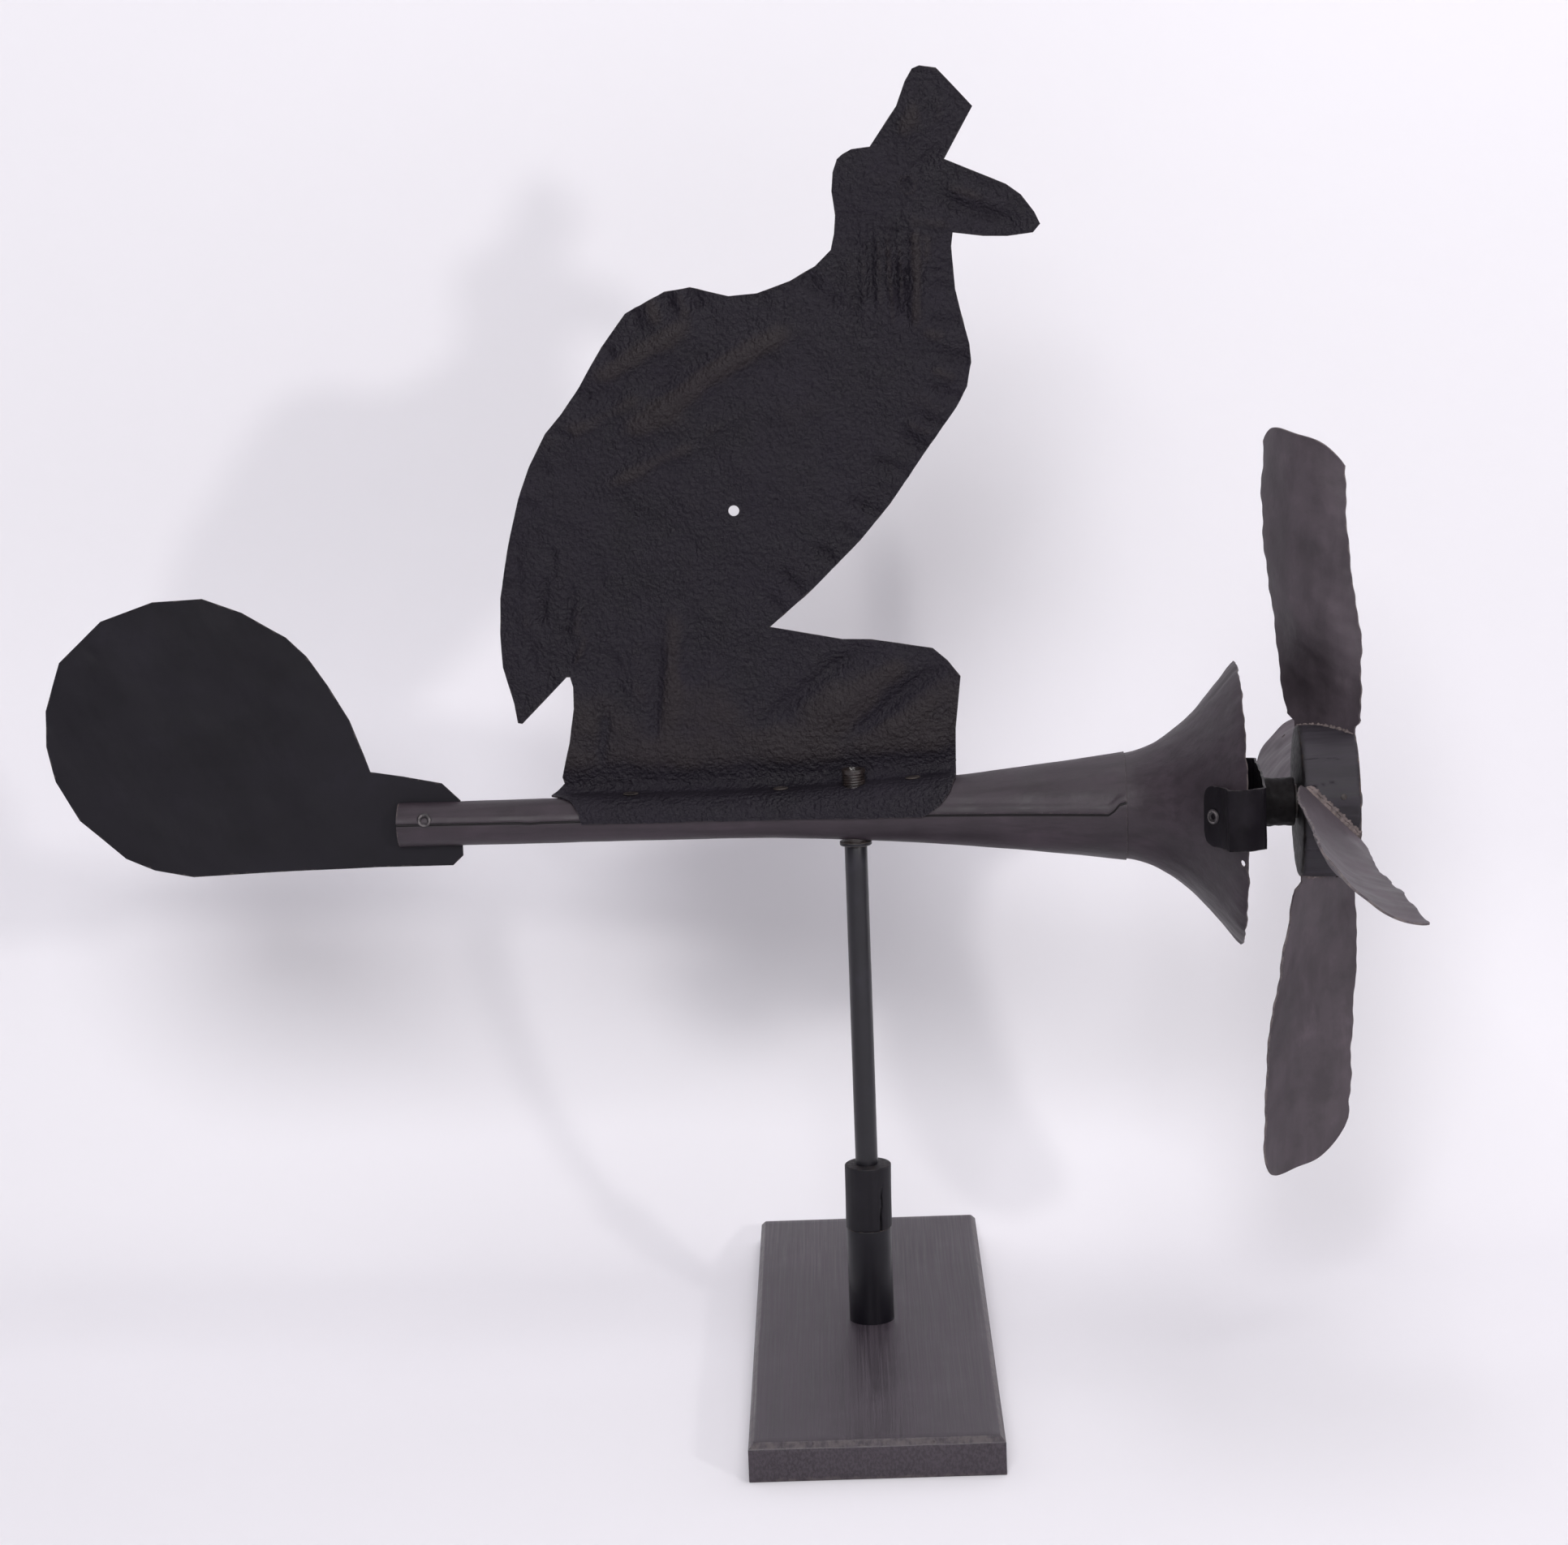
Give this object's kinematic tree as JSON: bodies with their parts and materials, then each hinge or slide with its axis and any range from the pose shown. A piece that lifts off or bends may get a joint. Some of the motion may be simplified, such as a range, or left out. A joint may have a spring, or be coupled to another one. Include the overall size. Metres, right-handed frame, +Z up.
{
  "type": "whirligig",
  "caption": "Sheet-iron whirligig on a table stand: a hatted bird rides a trumpet horn that swivels on a rod, with a cupped-blade propeller spinning at the horn's mouth.",
  "frame": {"origin": "underside of the base board, on the vertical swivel axis of the post", "axes": "+X is the way the horn and propeller point when the head is square to the board, +Y is along the board away from the viewer, +Z is up"},
  "size_m": [0.7412, 0.4165, 0.723],
  "materials": {
    "board_paint": "black paint over a wooden plank, satin, worn at the edges",
    "post_paint": "smooth black paint, satin",
    "sleeve_wood": "blackened wood with a drying crack",
    "rod_steel": "blackened steel rod, satin",
    "rusty_bush": "brown rusted thread",
    "horn_iron": "old grey-black paint on sheet iron, matt",
    "bird_iron": "old black paint on embossed sheet iron, matt, slightly pebbled",
    "strap_iron": "blackened strap iron, matt",
    "rivet_iron": "dark hollow rivets",
    "vane_iron": "old black paint on sheet iron, matt",
    "bolt_steel": "dark rusted steel",
    "spool_wood": "worn dark brown wood",
    "hub_wood": "grey-black paint on wood, bare brown wood at the saw kerfs",
    "blade_iron": "weathered grey-black sheet iron, matt",
    "base_hardware": "plain zinc"
  },
  "bodies": {
    "stand": {"base_board": "board_paint", "base_plug": "board_paint", "base_washer": "base_hardware", "base_screw": "base_hardware", "lower_post": "post_paint", "upper_sleeve": "sleeve_wood", "spindle_rod": "rod_steel"},
    "head": {"pivot_bush": "rusty_bush", "bush_collar": "rod_steel", "horn_tube": "horn_iron", "horn_bell": "horn_iron", "strap_bracket": "strap_iron", "strap_rivets": "rivet_iron", "bird_sheet_iron": "bird_iron", "flange_rivets": "rivet_iron", "tail_vane": "vane_iron", "tail_rivet": "rivet_iron", "axle_bolt": "bolt_steel", "spool_spacer": "spool_wood", "rear_washer": "bolt_steel", "front_washer": "bolt_steel", "axle_nut": "bolt_steel"},
    "propeller": {"hub": "hub_wood", "blade_top": "blade_iron", "blade_near": "blade_iron", "blade_bottom": "blade_iron", "blade_far": "blade_iron", "blade_nails": "bolt_steel"}
  },
  "joints": [
    {"name": "swivel", "type": "hinge", "parent": "stand", "child": "head", "pos_m": [0, 0, 0.298], "axis": [0, 0, 1], "continuous": true},
    {"name": "spin", "type": "hinge", "parent": "head", "child": "propeller", "pos_m": [0.26027, -0.01091, 0.316], "axis": [0.9991, -0.0419, 0], "continuous": true}
  ]
}
